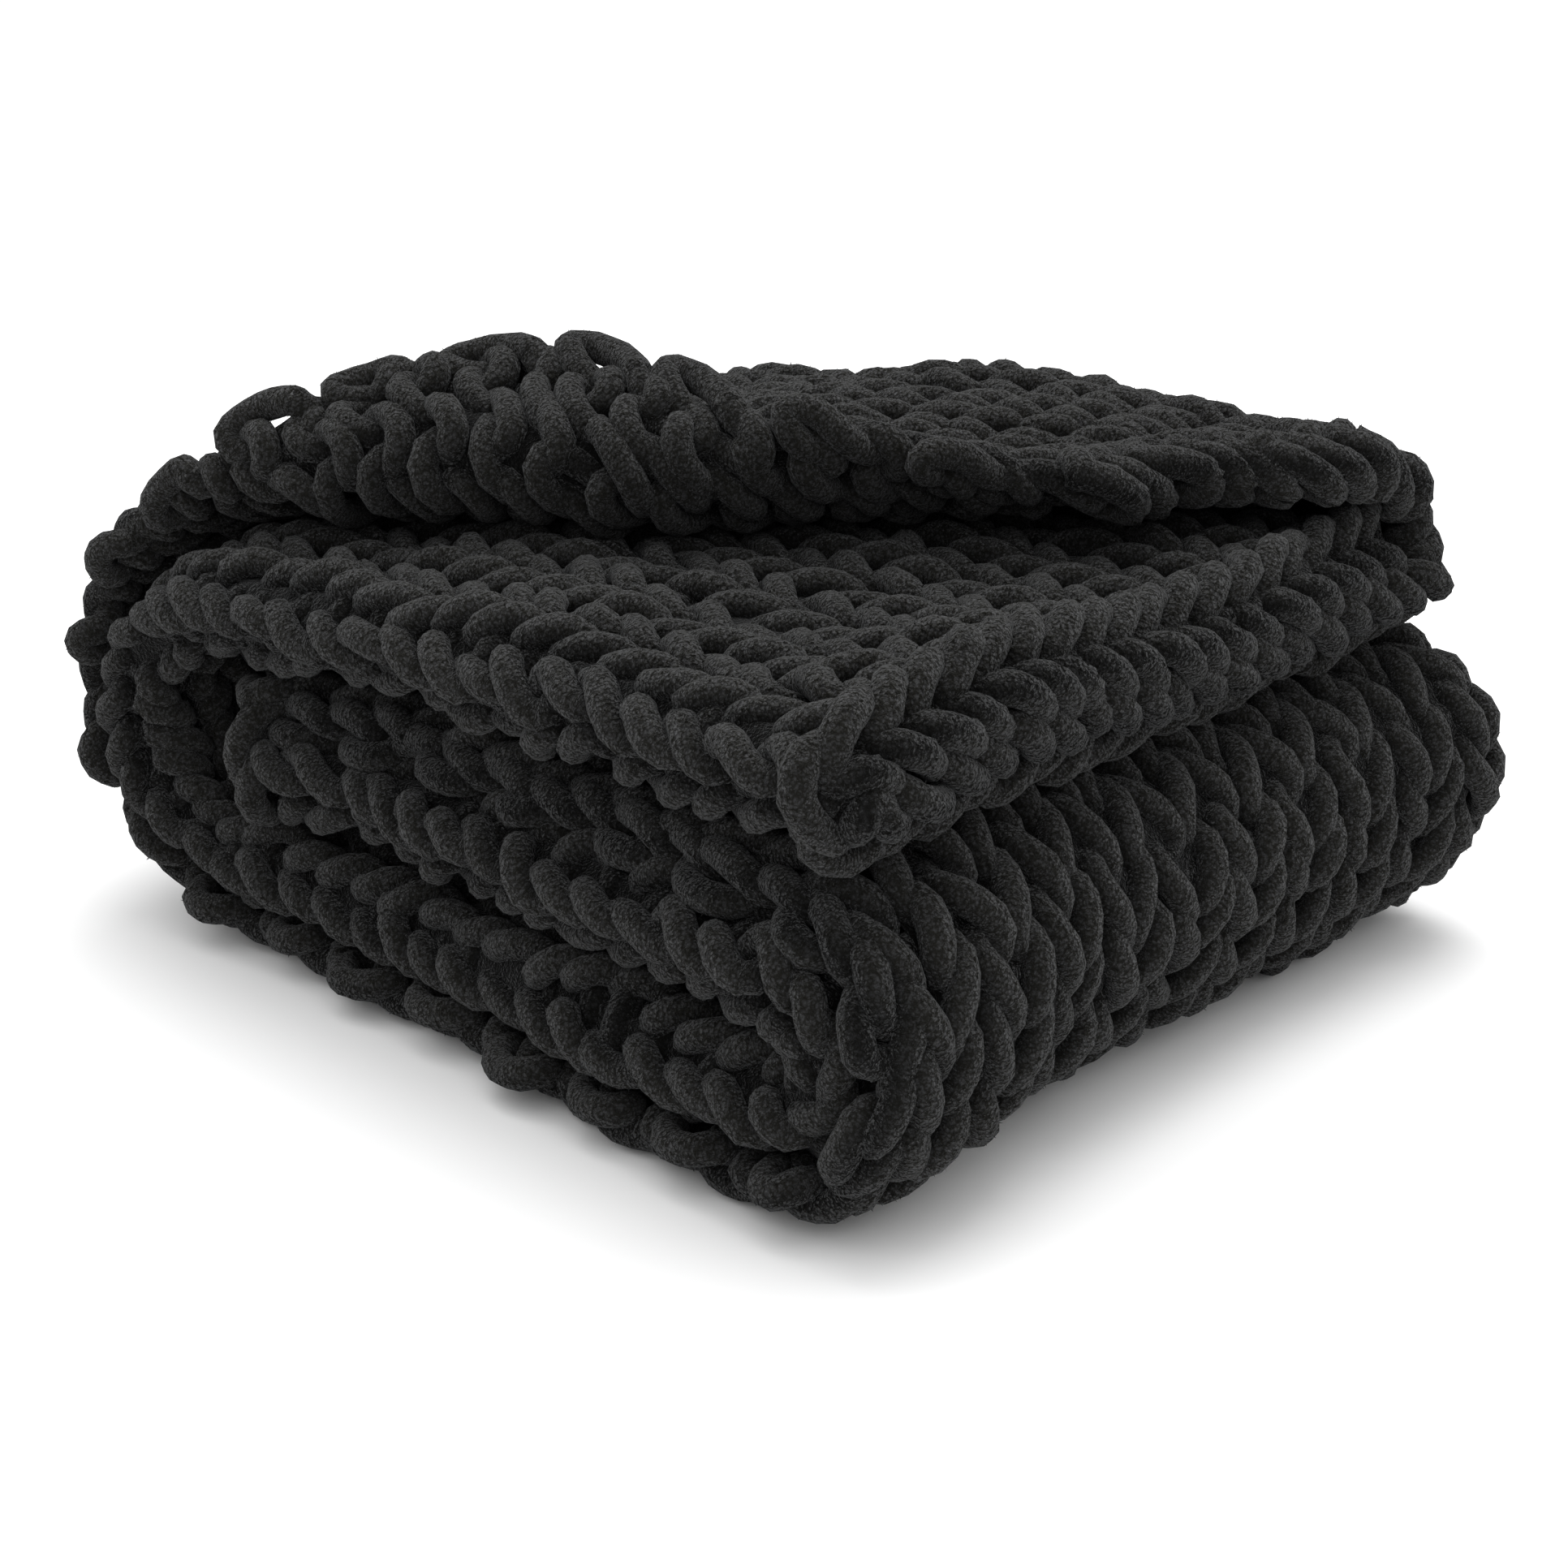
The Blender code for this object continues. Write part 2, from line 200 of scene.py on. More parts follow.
def peel(u, w):
    """y and height of the outermost sheet, at u along and w from 0 at the big fold to 1 at its selvage."""
    ys, ns, knot = peel_knots(u)
    # where the sheet's line is shorter than the cloth, the wales crowd in the crease behind the margin
    full = 0.97
    least = (3 * np.minimum(knot[..., -1] / (WIDTH - V_OUTER), full) - full) / 2
    at = w * least + (full - least) * ((2 * w - 1) ** 3 + 1) / 6
    at *= knot[..., -1] / (least + (full - least) / 3)
    y, n = np.zeros(u.shape), np.zeros(u.shape)
    # headings at the knots: level at the big fold, straight on at the foot, halfway at the crown and belly
    leg = np.stack([np.diff(ys, axis=-1), np.diff(ns, axis=-1) * PITCH_TOP], -1)
    leg /= np.maximum(np.linalg.norm(leg, axis=-1, keepdims=True), 1e-9)
    level = np.zeros_like(leg[..., :1, :])
    level[..., 0] = -1.0
    head = np.concatenate(
        [level, leg[..., :1, :] + leg[..., 1:2, :], leg[..., 1:2, :], leg[..., 2:3, :] + leg[..., 3:4, :], leg[..., 3:4, :]], -2
    )
    head *= 1.06 / np.linalg.norm(head, axis=-1, keepdims=True)
    dy, dn = head[..., 0], head[..., 1] / PITCH_TOP
    for k in range(4):
        h = np.maximum(knot[..., k + 1] - knot[..., k], 1e-9)
        t = (at - knot[..., k]) / h
        inside = (t >= 0) & (t <= 1.000001)
        t = np.clip(t, 0, 1)
        h00, h10 = 2 * t**3 - 3 * t**2 + 1, t**3 - 2 * t**2 + t
        h01, h11 = 3 * t**2 - 2 * t**3, t**3 - t**2
        y = np.where(inside, h00 * ys[..., k] + h10 * h * dy[..., k] + h01 * ys[..., k + 1] + h11 * h * dy[..., k + 1], y)
        n = np.where(inside, h00 * ns[..., k] + h10 * h * dn[..., k] + h01 * ns[..., k + 1] + h11 * h * dn[..., k + 1], n)
    return y, n


def lean(spots):
    """Moves points by the soft pushes; the floor side stays flat."""
    moved = spots.copy()
    for x, y, z, reach, dx, dy, dz in LEAN:
        near = np.exp(-(((spots - (x, y, z)) / reach) ** 2).sum(-1))
        lift = smooth(THICK, 0.10, spots[..., 2])
        moved += near[..., None] * np.array([dx, dy, 1.0]) * np.stack([lift * 0 + 1, lift * 0 + 1, lift * dz], -1)
    return moved


def place(u, v):
    """Where the middle of the cloth lies at (u, v)."""
    u, v = np.broadcast_arrays(np.asarray(u, float), np.asarray(v, float))
    x, z, nx, nz, p = (np.interp(u, U_RUN, U_PATH[:, k]) for k in range(5))
    y = np.interp(v, V_RUN, V_PATH[:, 0])
    n = np.interp(v, V_RUN, V_PATH[:, 1])
    outer = v > V_OUTER
    w = np.clip((v - V_OUTER) / (WIDTH - V_OUTER), 0, 1)
    y_free, n_free = peel(u, w)
    y = np.where(outer, y_free, y)
    n = np.where(outer, n_free, n)
    pull = END_PULL * smooth(0, 1, w) * (1 - smooth(0, 0.27, u))
    x = np.where(outer, x - pull, x)
    return lean(np.stack([x + n * p * nx, y, z + n * p * nz], -1)) - (CENTRE[0], CENTRE[1], 0.0)


# ---------------------------------------------------------------- the knit
YARN = 0.0072  # radius of the chenille, with its pile
EDGE = 0.030  # width of the narrower stitch along each selvage
WALES = 29
COURSES = 58
END = 0.017  # from the last course's middle line to the end edge, where the chained edge lies
WALE = (WIDTH - 2 * EDGE) / WALES
COURSE = (LENGTH - 2 * END) / COURSES
LOOP = 1.62 * COURSE  # a loop's height, from its foot to its head
SWAY = 0.215 * WALE  # how far a loop's legs lean
RISE = 0.0058  # how far a loop's legs stand before, and its head and foot behind, the cloth's middle
LINK = 0.0225  # one link of the chained end edge
SIDES = 10
FINE, COARSE = 24, 12  # points along a stitch, where it shows and where it is folded in

V_SMALL, V_BIG = float(V_RUN[79]), float(V_RUN[3 * 79])  # where the small folds and the big fold start
V_SMALL_END = float(V_RUN[2 * 79])
U_LEFT_END = float(U_RUN[2 * 159])
U_NEAR, U_NEAR_END = float(U_RUN[3 * 159]), float(U_RUN[4 * 159])
rng = np.random.default_rng(20)


def outer_runs():
    """Lengths run along the outermost sheet, on lines at even steps from the big fold to the selvage."""
    share = np.linspace(0, 1, 15)
    spots = place(U_RUN[None, :], (V_OUTER + share * (WIDTH - V_OUTER))[:, None])
    run = np.concatenate([np.zeros((len(share), 1)), np.cumsum(np.linalg.norm(np.diff(spots, axis=1), axis=-1), 1)], 1)
    return share, run * LENGTH / run[:, -1:]


OUTER_SHARE, OUTER_RUN = outer_runs()


def slipped(u, v):
    """The place along the fold of a course at u: the outermost sheet slides over the ones below, so its courses stay even."""
    w = np.clip((v - V_OUTER) / (WIDTH - V_OUTER), 0, 1) * (len(OUTER_SHARE) - 1)
    low = np.minimum(w.astype(int), len(OUTER_SHARE) - 2)
    inside = np.clip(u, 0, LENGTH)
    even = np.array([np.interp(inside, run, U_RUN) for run in OUTER_RUN])
    i = np.arange(len(u))
    slid = even[low, i] + (w - low) * (even[low + 1, i] - even[low, i])
    return u + smooth(V_BIG - 0.09, V_OUTER + 0.02, v) * (slid - inside)


SPREAD = rng.uniform(0, 2 * math.pi, 6)
SPREAD_AT = 2 * math.pi / np.array([0.085, 0.11, 0.14, 0.18, 0.23, 0.31])
SPREAD_K = np.stack([SPREAD_AT * np.cos(SPREAD), SPREAD_AT * np.sin(SPREAD)], 1)
SPREAD_PHASE = rng.uniform(0, 2 * math.pi, (3, 6))
SPREAD_SIZE = (0.0009, 0.0011, 0.0009)  # along, across and out of the cloth


def wander(u, v):
    """How far the cloth's stitches are pulled about together at (u, v): along, across and out."""
    k = u[:, None] * SPREAD_K[:, 0] + v[:, None] * SPREAD_K[:, 1]
    calm = smooth(0.0, 0.04, u) * smooth(0.0, 0.04, LENGTH - u) * smooth(0.0, 0.04, v) * smooth(0.0, 0.04, WIDTH - v)
    return [calm * size * np.sin(k + phase).sum(1) for size, phase in zip(SPREAD_SIZE, SPREAD_PHASE)]


def surface(u, v):
    """The middle of the cloth and its outward normal at (u, v)."""
    e = 0.0015
    du, dv, lift = wander(u, v)
    u, v = u + du, v + dv
    ui, vi = np.clip(u, e, LENGTH - e), np.clip(v, e, WIDTH - e)
    along = (place(ui + e, vi) - place(ui - e, vi)) / (2 * e)
    across = (place(ui, vi + e) - place(ui, vi - e)) / (2 * e)
    normal = np.cross(along, across)
    normal /= np.maximum(np.linalg.norm(normal, axis=-1, keepdims=True), 1e-9)
    spot = place(ui, vi) + along * (u - ui)[..., None] + across * (v - vi)[..., None]
    return spot + normal * lift[:, None], normal


def shows(u, v):
    """Whether the stitch at (u, v) lies where it can be seen."""
    outer = (v > V_BIG - 0.05) & (u < U_NEAR_END + 0.06)
    tucked = (v < V_SMALL + 0.02) & (u < U_TOP + 0.07)
    small = (v > V_SMALL - 0.07) & (v < V_SMALL_END + 0.06)
    big = (v > V_BIG - 0.05) & (v < V_OUTER + 0.05)
    rim = v > WIDTH - 0.09
    return outer | tucked | small | big | rim | (u < 0.06)


def drift(count, step, size):
    """Smooth seeded wander: one value for each of count points, turning about once in step points."""
    marks = rng.normal(0, size, int(count / step) + 4)
    at = np.arange(count) / step + 1
    i = at.astype(int)
    t = at - i
    p0, p1, p2, p3 = marks[i - 1], marks[i], marks[i + 1], marks[np.minimum(i + 2, len(marks) - 1)]
    return 0.5 * (2 * p1 + (p2 - p0) * t + (2 * p0 - 5 * p1 + 4 * p2 - p3) * t**2 + (3 * p1 - p0 - 3 * p2 + p3) * t**3)


def course_u(i):
    return LENGTH - END - COURSE * (i + 0.5)


def course(i):
    """One course's yarn from the tucked selvage to the one that shows: u, v and height, and the points to keep."""
    turn = np.linspace(-2 * math.pi, 2 * math.pi * (WALES + 1), FINE * (WALES + 2) + 1)
    each = LOOP * (1 + drift(len(turn), FINE, 0.060))
    lean_ = SWAY * (1 + drift(len(turn), FINE, 0.18))
    u = course_u(i) + each / 2 * np.cos(turn)
    inside = np.clip(turn, 0, 2 * math.pi * WALES)
    beyond = (turn - inside) / (2 * math.pi)  # along the stitch at either selvage, which is narrower and curls back
    v = EDGE + WALE * inside / (2 * math.pi) + (EDGE - 0.009) * beyond
    v += lean_ * np.where(beyond == 0, 1, 0.62) * np.sin(2 * turn)
    n = -RISE * (1 + drift(len(turn), FINE / 2, 0.20)) * np.cos(2 * turn) - 0.0055 * np.abs(beyond)
    u += drift(len(turn), FINE / 3, 0.0017) + drift(len(turn), FINE * 4, 0.0020)
    v += drift(len(turn), FINE / 3, 0.0017) + drift(len(turn), FINE * 3, 0.0016)
    n += drift(len(turn), FINE / 3, 0.0012)
    fine = shows(np.full(len(turn), course_u(i)), v)
    keep = fine | (np.arange(len(turn)) % (FINE // COARSE) == 0)
    return np.stack([u, v, n], 1), keep


def respaced(path, step):
    """The same line with even steps, through its points smoothly."""
    run = np.concatenate([[0], np.cumsum(np.linalg.norm(np.diff(path[:, :3], axis=0), axis=1))])
    at = np.linspace(0, run[-1], max(3, int(run[-1] / step) + 1))
    return hermite(at, run, path)


def yarns():
    """The knitting yarn, course by course, turning at the selvages: lines of (u, v, height, thickness)."""
    lines = []
    for i in range(COURSES):
        line, keep = course(i)
        line = line[keep]
        if i % 2:
            line = line[::-1]
        lines.append(line)
    arc = np.linspace(0, math.pi, 8)[1:]
    for i, (a, b) in enumerate(zip(lines[:-1], lines[1:])):
        # from one course's last loop round the selvage to the next one's first
        side = 1 if a[-1, 1] > WIDTH / 2 else -1
        way = ((1 - np.cos(arc)) / 2)[:, None]
        lines[i] = np.concatenate([a, a[-1] + (b[0] - a[-1]) * way + np.sin(arc)[:, None] * (0, side * 0.0094, 0.0035)])
    # it is one yarn, and its turns at the selvages are rounded
    starts = np.cumsum([0] + [len(line) - 1 for line in lines[:-1]])
    yarn = np.concatenate([line[:-1] for line in lines[:-1]] + lines[-1:])
    near = np.clip(1 - np.minimum(yarn[:, 1], WIDTH - yarn[:, 1]) / 0.030, 0, 1)[1:-1, None]
    for _ in range(3):
        yarn[1:-1] += ((yarn[:-2] + yarn[2:]) / 2 - yarn[1:-1]) * 0.5 * near
    yarn = np.concatenate([yarn, np.full((len(yarn), 1), YARN)], 1)
    return [yarn[a : b + 2] for a, b in zip(starts, np.append(starts[1:], len(yarn)))]


def end_chain(edge):
    """The chained end edge: one line for each link.  edge is 0 at the top panel's end, 1 at the middle panel's."""
    links = []
    vs = np.linspace(WIDTH - 0.004, 0.008, 600)
    lie = place(np.full(600, LENGTH - 0.0095 if edge else 0.0095), vs)
    run = np.concatenate([[0], np.cumsum(np.linalg.norm(np.diff(lie, axis=0), axis=1))])
    # the outermost sheet's edge is worked in shorter links, each standing by itself
    marks = [0.0]
    while marks[-1] < run[-1]:
        marks.append(marks[-1] + LINK * (0.92 if np.interp(marks[-1], run, vs) > V_OUTER else 1.0))
    marks = np.array(marks) * run[-1] / marks[-1]
    count = len(marks) - 1
    ends = np.interp(marks + rng.normal(0, 0.0012, count + 1), run, vs)
    shape = np.array(
        [
            # along, lateral, out
            (-0.12, 0.0035, -0.0070),
            (0.02, -0.0010, -0.0030),
            (0.20, -0.0065, 0.0030),
            (0.45, -0.0110, 0.0052),
            (0.72, -0.0136, 0.0030),
            (0.94, -0.0116, -0.0030),
            (1.02, 0.0000, -0.0068),
            (0.94, 0.0116, -0.0030),
            (0.72, 0.0136, 0.0030),
            (0.45, 0.0110, 0.0052),
            (0.20, 0.0065, 0.0030),
            (0.02, 0.0010, -0.0030),
            (-0.12, -0.0035, -0.0070),
        ]
    )
    for k in range(count):
        v, size = ends[k], ends[k] - ends[k + 1]
        loose = v > V_OUTER
        big = 1.05 if loose else 1.02
        along, lateral, out = (shape + rng.normal(0, 1, shape.shape) * (0.015, 0.0007, 0.0007)).T
        out = out * 0.6 if loose else out
        tilt = (1.20 if loose else 0.75) + rng.normal(0, 0.13)
        reach = lateral * -math.sin(tilt) + out * math.cos(tilt)
        n = lateral * math.cos(tilt) + out * math.sin(tilt)
        # each link opens ahead, so its two legs lean apart
        n = n + (along - 0.45) * (-0.014 if loose else 0.85 * lateral)
        u = (0.0060 if loose else 0.0090) - reach + rng.normal(0, 0.0009)
        if edge:
            u = LENGTH - u
        links.append(respaced(np.stack([u, v - along * size * (1.16 if loose else 1.32), n, np.full(len(u), YARN * big)], 1), 0.0050))
    return links


# ---------------------------------------------------------------- tubes
WAVES = rng.normal(0, 1, (7, 3))
WAVES *= (2 * math.pi / np.array([0.009, 0.011, 0.013, 0.016, 0.020, 0.026, 0.034]) / np.linalg.norm(WAVES, axis=1))[:, None]
PHASES = rng.uniform(0, 2 * math.pi, 7)
RING = np.linspace(0, 2 * math.pi, SIDES, endpoint=False)


def tube(line):
    """Points of one yarn's skin, (points, SIDES, 3), its axis, and each point's place on the yarn."""
    spot, normal = surface(slipped(line[:, 0], line[:, 1]), line[:, 1])
    axis = spot + normal * line[:, 2:3]
    thick = line[:, 3, None, None]
    ahead = np.gradient(axis, axis=0)
    ahead /= np.maximum(np.linalg.norm(ahead, axis=1, keepdims=True), 1e-9)
    side = np.cross(ahead, normal)
    side /= np.maximum(np.linalg.norm(side, axis=1, keepdims=True), 1e-9)
    up = np.cross(side, ahead)
    run = np.concatenate([[0], np.cumsum(np.linalg.norm(np.diff(axis, axis=0), axis=1))])
    out = np.cos(RING)[None, :, None] * side[:, None] + np.sin(RING)[None, :, None] * up[:, None]
    skin = axis[:, None] + thick * out
    lump = np.sin(skin @ WAVES.T + PHASES).sum(-1) * 0.013 + rng.normal(0, 0.022, skin.shape[:2])
    skin = axis[:, None] + thick * (1 + lump[..., None]) * out
    proud = np.abs(line[:, 2:3] + thick[..., 0] * (out * normal[:, None]).sum(-1))  # off the cloth's middle, either way
    start = rng.uniform(0, 5)
    mark = np.stack(
        [
            np.broadcast_to(YARN * np.cos(RING), skin.shape[:2]),
            np.broadcast_to(YARN * np.sin(RING), skin.shape[:2]),
            np.broadcast_to((start + run)[:, None], skin.shape[:2]),
        ],
        -1,
    )
    return skin, axis, mark, proud


def fuzz(name, lines, each):
    """Short loose ends of the pile along the yarn where it shows: three-sided flecks that stand off its skin."""
    roots, aims, runs = [], [], []
    for line in lines:
        skin, axis, mark, proud = tube(line)
        seen = shows(line[:, 0], line[:, 1])[:, None] & (proud > 0.0055)
        row, side = np.nonzero(seen[:-1])
        for _ in range(each):
            t = rng.uniform(0, 1, len(row))[:, None]
            w = rng.uniform(0, 1, len(row))[:, None]
            next_side = (side + 1) % SIDES
            spot = (1 - t) * ((1 - w) * skin[row, side] + w * skin[row, next_side]) + t * (
                (1 - w) * skin[row + 1, side] + w * skin[row + 1, next_side]
            )
            aim = spot - ((1 - t) * axis[row] + t * axis[row + 1])
            aim /= np.maximum(np.linalg.norm(aim, axis=1, keepdims=True), 1e-9)
            roots.append(spot)
            aims.append(aim)
            runs.append(mark[row, side])
    roots, aims, runs = np.concatenate(roots), np.concatenate(aims), np.concatenate(runs)
    some = rng.normal(0, 1, roots.shape)
    flat = np.cross(aims, some)
    flat /= np.maximum(np.linalg.norm(flat, axis=1, keepdims=True), 1e-9)
    size = rng.uniform(0.5, 1.0, (len(roots), 1))
    tip = roots + (aims * 0.0011 + some * 0.0004) * size
    a, b = roots - aims * 0.0004 + flat * 0.00042 * size, roots - aims * 0.0004 - flat * 0.00042 * size
    points = settle(np.stack([a, b, tip], 1).reshape(-1, 3))
    mesh = bpy.data.meshes.new(name)
    mesh.vertices.add(len(points))
    mesh.vertices.foreach_set("co", points.ravel())
    mesh.loops.add(len(points))
    mesh.loops.foreach_set("vertex_index", np.arange(len(points), dtype=np.int32))
    mesh.polygons.add(len(roots))
    mesh.polygons.foreach_set("loop_start", np.arange(len(roots), dtype=np.int32) * 3)
    mesh.update(calc_edges=True)
    at = mesh.attributes.new("on_yarn", "FLOAT_VECTOR", "POINT")
    at.data.foreach_set("vector", np.repeat(runs, 3, 0).ravel())
    at = mesh.attributes.new("proud", "FLOAT", "POINT")
    # the flecks stand clear, so the look paints no crease shade on them
    at.data.foreach_set("value", np.full(len(points), 0.0085))
    piece = bpy.data.objects.new(name, mesh)
    bpy.context.scene.collection.objects.link(piece)
    print(name, len(roots))
    return piece


def settle(spots):
    """Yarn that reaches the surface below flattens against it."""
    soft = 0.004
    low = spots[..., 2] < soft
    spots[..., 2] = np.where(low, soft * np.exp((np.minimum(spots[..., 2], soft) - soft) / soft), spots[..., 2])
    return spots


def tube_mesh(name, lines):
    points, marks, prouds, quads, caps = [], [], [], [], []
    base = 0
    for line in lines:
        skin, axis, mark, proud = tube(line)
        rows = len(skin)
        k = np.arange(SIDES)
        i = base + np.arange(rows - 1)[:, None] * SIDES
        a, b = i + k, i + (k + 1) % SIDES
        quads.append(np.stack([a, b, b + SIDES, a + SIDES], -1).reshape(-1, 4))
        top = base + rows * SIDES
        caps.append(np.stack([base + (k + 1) % SIDES, base + k, np.full(SIDES, top)], -1))
        last = base + (rows - 1) * SIDES
        caps.append(np.stack([last + k, last + (k + 1) % SIDES, np.full(SIDES, top + 1)], -1))
        points += [skin.reshape(-1, 3), axis[:1], axis[-1:]]
        marks += [mark.reshape(-1, 3), mark[0].mean(0)[None], mark[-1].mean(0)[None]]
        prouds += [proud.ravel(), proud[0].mean()[None], proud[-1].mean()[None]]
        base = top + 2
    points, marks = settle(np.concatenate(points)), np.concatenate(marks)
    quads, caps = np.concatenate(quads), np.concatenate(caps)
    mesh = bpy.data.meshes.new(name)
    mesh.vertices.add(len(points))
    mesh.vertices.foreach_set("co", points.ravel())
    mesh.loops.add(quads.size + caps.size)
    mesh.loops.foreach_set("vertex_index", np.concatenate([quads.ravel(), caps.ravel()]).astype(np.int32))
    mesh.polygons.add(len(quads) + len(caps))
    starts = np.concatenate([np.arange(len(quads)) * 4, quads.size + np.arange(len(caps)) * 3])
    mesh.polygons.foreach_set("loop_start", starts.astype(np.int32))
    mesh.update(calc_edges=True)
    mesh.shade_smooth()
    at = mesh.attributes.new("on_yarn", "FLOAT_VECTOR", "POINT")
    at.data.foreach_set("vector", marks.ravel())
    # how far each skin point stands off the cloth's middle; the look paints shade where it lies low
    at = mesh.attributes.new("proud", "FLOAT", "POINT")
    at.data.foreach_set("value", np.concatenate(prouds))
    piece = bpy.data.objects.new(name, mesh)
    bpy.context.scene.collection.objects.link(piece)
    return piece


# ---------------------------------------------------------------- materials
def chenille(name, shade):
    m = bpy.data.materials.new(name)
    m.use_nodes = True
    t = m.node_tree
    node, link = t.nodes.new, t.links.new
    shader = t.nodes["Principled BSDF"]
    on_yarn = node("ShaderNodeAttribute")
    on_yarn.attribute_name = "on_yarn"
    where = node("ShaderNodeTexCoord")

    def noise(source, scale, size, detail, rough=0.6):
        stretch = node("ShaderNodeMapping")
        stretch.vector_type = "POINT"
        stretch.inputs["Scale"].default_value = scale
        link(source, stretch.inputs["Vector"])
        n = node("ShaderNodeTexNoise")
        n.inputs["Scale"].default_value = size
        n.inputs["Detail"].default_value = detail
        n.inputs["Roughness"].default_value = rough
        link(stretch.outputs[0], n.inputs["Vector"])
        return n.outputs["Fac"]

    def ramp(source, lo, hi, a, b):
        r = node("ShaderNodeMapRange")
        r.inputs["From Min"].default_value, r.inputs["From Max"].default_value = lo, hi
        r.inputs["To Min"].default_value, r.inputs["To Max"].default_value = a, b
        link(source, r.inputs["Value"])
        return r.outputs[0]

    pile = noise(on_yarn.outputs["Vector"], (150, 150, 900), 1.0, 3)  # it lies round the yarn
    fine = noise(where.outputs["Object"], (1, 1, 1), 1300, 2)
    clumps = noise(where.outputs["Object"], (1, 1, 1), 130, 2)
    broad = noise(where.outputs["Object"], (1, 1, 1), 9, 1)

    def mix(a, b, share):
        x = node("ShaderNodeMix")
        x.inputs["Factor"].default_value = share
        link(a, x.inputs["A"])
        link(b, x.inputs["B"])
        return x.outputs["Result"]

    # the pile's tufts: rounded grains, a little longer round the yarn than along it
    spun = node("ShaderNodeMapping")
    spun.vector_type = "POINT"
    spun.inputs["Scale"].default_value = (520, 520, 760)
    link(on_yarn.outputs["Vector"], spun.inputs["Vector"])
    stir = node("ShaderNodeTexNoise")
    stir.inputs["Scale"].default_value = 600
    stir.inputs["Detail"].default_value = 1
    link(where.outputs["Object"], stir.inputs["Vector"])
    stirred = node("ShaderNodeVectorMath")
    stirred.operation = "MULTIPLY_ADD"
    link(stir.outputs["Color"], stirred.inputs[0])
    stirred.inputs[1].default_value = (1.5, 1.5, 1.5)
    link(spun.outputs[0], stirred.inputs[2])
    grain = node("ShaderNodeTexVoronoi")
    grain.inputs["Scale"].default_value = 1.0
    link(stirred.outputs[0], grain.inputs["Vector"])
    tufts = ramp(grain.outputs["Distance"], 0.05, 0.95, 1.0, 0.0)

    height = mix(mix(mix(tufts, pile, 0.40), fine, 0.20), clumps, 0.16)
    bump = node("ShaderNodeBump")
    bump.inputs["Strength"].default_value = 1.0
    bump.inputs["Distance"].default_value = 0.0030
    link(height, bump.inputs["Height"])
    link(bump.outputs[0], shader.inputs["Normal"])

    # painted shade and painted highlight on the pile: the colour runs from a dark shade colour (A) in the crevices
    # between the tufts to a light highlight colour (B) on their tips, following the bump's height
    tuft_shade_to_highlight = ramp(mix(mix(tufts, pile, 0.40), fine, 0.18), 0.44, 0.80, 0.0, 1.0)
    tuft_shade_and_highlight = node("ShaderNodeMix")
    tuft_shade_and_highlight.data_type = "RGBA"
    tuft_shade_and_highlight.inputs["A"].default_value = (0.0084, 0.0081, 0.0068, 1)
    tuft_shade_and_highlight.inputs["B"].default_value = (0.0410, 0.0413, 0.0433, 1)
    link(tuft_shade_to_highlight, tuft_shade_and_highlight.inputs["Factor"])
    tone = node("ShaderNodeHueSaturation")
    link(tuft_shade_and_highlight.outputs["Result"], tone.inputs["Color"])
    proud = node("ShaderNodeAttribute")
    proud.attribute_name = "proud"
    painted_crease_shade = ramp(proud.outputs["Fac"], 0.0015, 0.0100, 0.30, 1.10)  # painted shade: darker where the yarn's skin lies low in the cloth, between the strands, lighter where it stands proud
    both = node("ShaderNodeMath")
    both.operation = "MULTIPLY"
    link(painted_crease_shade, both.inputs[0])
    # shade below 1 darkens the whole look, as painted shade for the sheet between the yarns
    link(ramp(broad, 0.3, 0.7, 0.88 * shade, 1.14 * shade), both.inputs[1])
    link(both.outputs[0], tone.inputs["Value"])
    link(tone.outputs[0], shader.inputs["Base Color"])
    link(ramp(clumps, 0.3, 0.7, 0.86, 1.0), shader.inputs["Roughness"])
    shader.inputs["Specular IOR Level"].default_value = 0.06
    shader.inputs["Sheen Weight"].default_value = 0.12
    shader.inputs["Sheen Roughness"].default_value = 0.45
    shader.inputs["Sheen Tint"].default_value = (0.96, 0.98, 1.0, 1)
    return m


def plain(name, colour, rough):
    m = bpy.data.materials.new(name)
    m.use_nodes = True
    t = m.node_tree
    shader = t.nodes["Principled BSDF"]
    n = t.nodes.new("ShaderNodeTexNoise")
    n.inputs["Scale"].default_value = 300
    r = t.nodes.new("ShaderNodeMapRange")
    r.inputs["To Min"].default_value, r.inputs["To Max"].default_value = rough - 0.05, rough
    t.links.new(n.outputs["Fac"], r.inputs["Value"])
    t.links.new(r.outputs[0], shader.inputs["Roughness"])
    shader.inputs["Base Color"].default_value = (*colour, 1)
    shader.inputs["Specular IOR Level"].default_value = 0.05
    return m


# ---------------------------------------------------------------- pieces
def painted_shade_sheet():
    """A dark sheet along the cloth's middle, between the yarns that show on its two sides: painted shade for the gaps
    between the yarns, not a layer of the knit.
    """
    us = np.linspace(0.016, LENGTH - 0.016, 110)
    vs = np.linspace(0.030, WIDTH - 0.036, 90)
    spots = settle(place(us[:, None], vs[None, :]).reshape(-1, 3))
    k = np.arange((len(us) - 1) * len(vs)).reshape(len(us) - 1, len(vs))[:, :-1]
    quads = np.stack([k, k + len(vs), k + len(vs) + 1, k + 1], -1).reshape(-1, 4)
    mesh = bpy.data.meshes.new("cloth")
    mesh.from_pydata(spots.tolist(), [], quads.tolist())
    mesh.shade_smooth()
    # the piece keeps the name cloth, but it is a dark sheet of painted shade
    piece = bpy.data.objects.new("cloth", mesh)
    bpy.context.scene.collection.objects.link(piece)
    thick = piece.modifiers.new("thickness", "SOLIDIFY")
    thick.thickness = 0.002
    thick.offset = 0
    return piece


